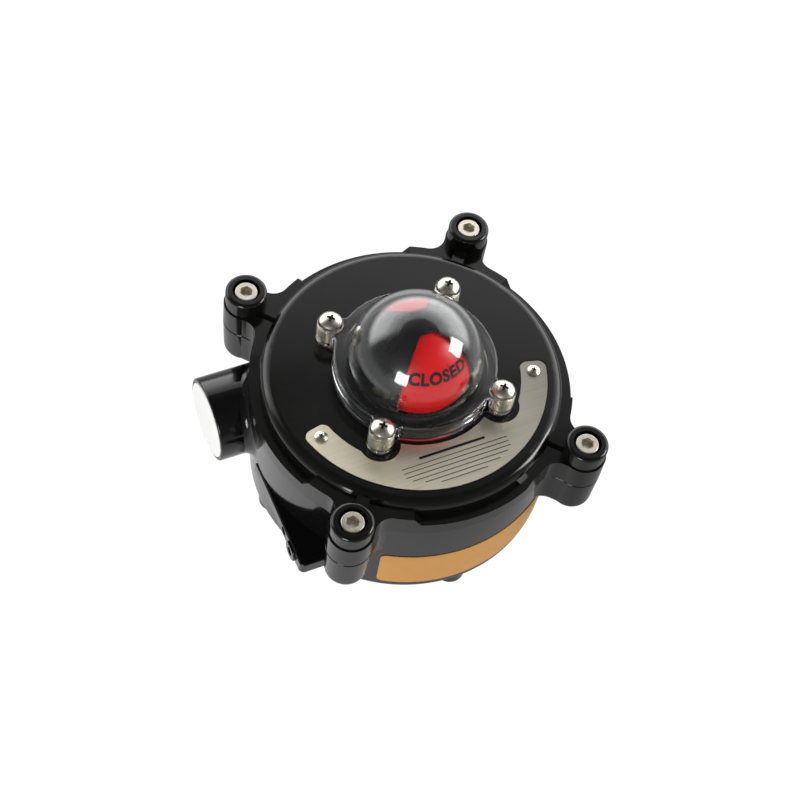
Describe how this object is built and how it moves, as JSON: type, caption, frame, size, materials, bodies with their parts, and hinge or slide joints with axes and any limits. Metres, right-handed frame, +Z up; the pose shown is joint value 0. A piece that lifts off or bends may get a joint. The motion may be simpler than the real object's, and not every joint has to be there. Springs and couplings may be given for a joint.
{
  "type": "valve limit switch box",
  "caption": "Round black cast switch box with an eared, bolted cover, a clear dome over a turning position indicator, a side cable entry and a drive shaft below.",
  "frame": {"origin": "on the drive shaft axis, in the plane of the four mounting feet", "axes": "+Z up along the drive shaft towards the dome, cable entry towards -X, nameplate towards -Y"},
  "size_m": [0.1528, 0.1392, 0.1271],
  "materials": {
    "housing_paint": "smooth satin black paint on die-cast aluminium",
    "cover_paint": "smooth satin black paint on die-cast aluminium",
    "seal_rubber": "matt black rubber",
    "stainless": "bright stainless steel",
    "plug_plastic": "white moulded plastic",
    "clear_dome": "clear moulded polycarbonate",
    "mask_plastic": "gloss black plastic",
    "red_plastic": "gloss red plastic",
    "yellow_plastic": "gloss yellow plastic",
    "shaft_steel": "turned stainless steel",
    "bush_bronze": "turned bronze",
    "cam_plastic": "moulded acetal",
    "spring_steel": "bright spring steel",
    "switch_plastic": "black moulded plastic",
    "plunger_plastic": "red moulded plastic",
    "blade_brass": "plated brass",
    "bracket_steel": "zinc-plated sheet steel",
    "terminal_plastic": "pale grey moulded plastic",
    "lead_plastic": "insulated wire",
    "plate_steel": "brushed warm silver plate",
    "label_film": "orange self-adhesive film"
  },
  "bodies": {
    "housing": {"body_housing": "housing_paint", "cover": "cover_paint", "cover_seal": "seal_rubber", "cover_bolts": "stainless", "entry_plug": "plug_plastic", "indicator_dome": "clear_dome", "dome_gasket": "seal_rubber", "dome_screws": "stainless", "indicator_mask": "mask_plastic", "lower_bush": "bush_bronze", "upper_bush": "bush_bronze", "switch_lower": "switch_plastic", "switch_upper": "switch_plastic", "switch_blades": "blade_brass", "switch_spacers": "spring_steel", "switch_screws": "stainless", "switch_bracket": "bracket_steel", "bracket_screws": "stainless", "terminal_block": "terminal_plastic", "terminal_screws": "blade_brass", "block_screws": "stainless", "earth_screw": "blade_brass", "switch_leads": "lead_plastic", "nameplate": "plate_steel", "nameplate_screws": "stainless", "side_label": "label_film"},
    "shaft": {"drive_shaft": "shaft_steel", "shaft_seals": "seal_rubber", "cam_lower": "cam_plastic", "cam_upper": "cam_plastic", "cam_spring": "spring_steel", "cam_washer": "spring_steel", "cam_circlip": "spring_steel", "indicator_carrier": "mask_plastic", "closed_flags": "red_plastic", "open_flags": "yellow_plastic", "indicator_screw": "stainless"},
    "lever_lower": {"lever_lower": "spring_steel"},
    "lever_upper": {"lever_upper": "spring_steel"},
    "plunger_lower": {"plunger_lower": "plunger_plastic"},
    "plunger_upper": {"plunger_upper": "plunger_plastic"}
  },
  "joints": [
    {"name": "shaft_turn", "type": "hinge", "parent": "housing", "child": "shaft", "pos_m": [0, 0, 0], "axis": [0, 0, 1], "range_deg": [0, 90]},
    {"name": "lever_lower_swing", "type": "hinge", "parent": "housing", "child": "lever_lower", "pos_m": [0.0204, 0.016, 0.02717], "axis": [0, 0, -1], "range_deg": [0, 7]},
    {"name": "lever_upper_swing", "type": "hinge", "parent": "housing", "child": "lever_upper", "pos_m": [0.0204, 0.016, 0.04017], "axis": [0, 0, 1], "range_deg": [0, 7]},
    {"name": "plunger_lower_slide", "type": "slide", "parent": "housing", "child": "plunger_lower", "axis": [-1, 0, 0], "range_m": [0, 0.0011]},
    {"name": "plunger_upper_slide", "type": "slide", "parent": "housing", "child": "plunger_upper", "axis": [1, 0, 0], "range_m": [0, 0.0011]}
  ],
  "couplings": [
    {"joint": "lever_lower_swing", "follows": "shaft_turn", "ratio": 0.07777},
    {"joint": "lever_upper_swing", "follows": "shaft_turn", "ratio": 0.07777},
    {"joint": "plunger_lower_slide", "follows": "shaft_turn", "m_per_rad": 0.00069826},
    {"joint": "plunger_upper_slide", "follows": "shaft_turn", "m_per_rad": 0.00069826}
  ]
}
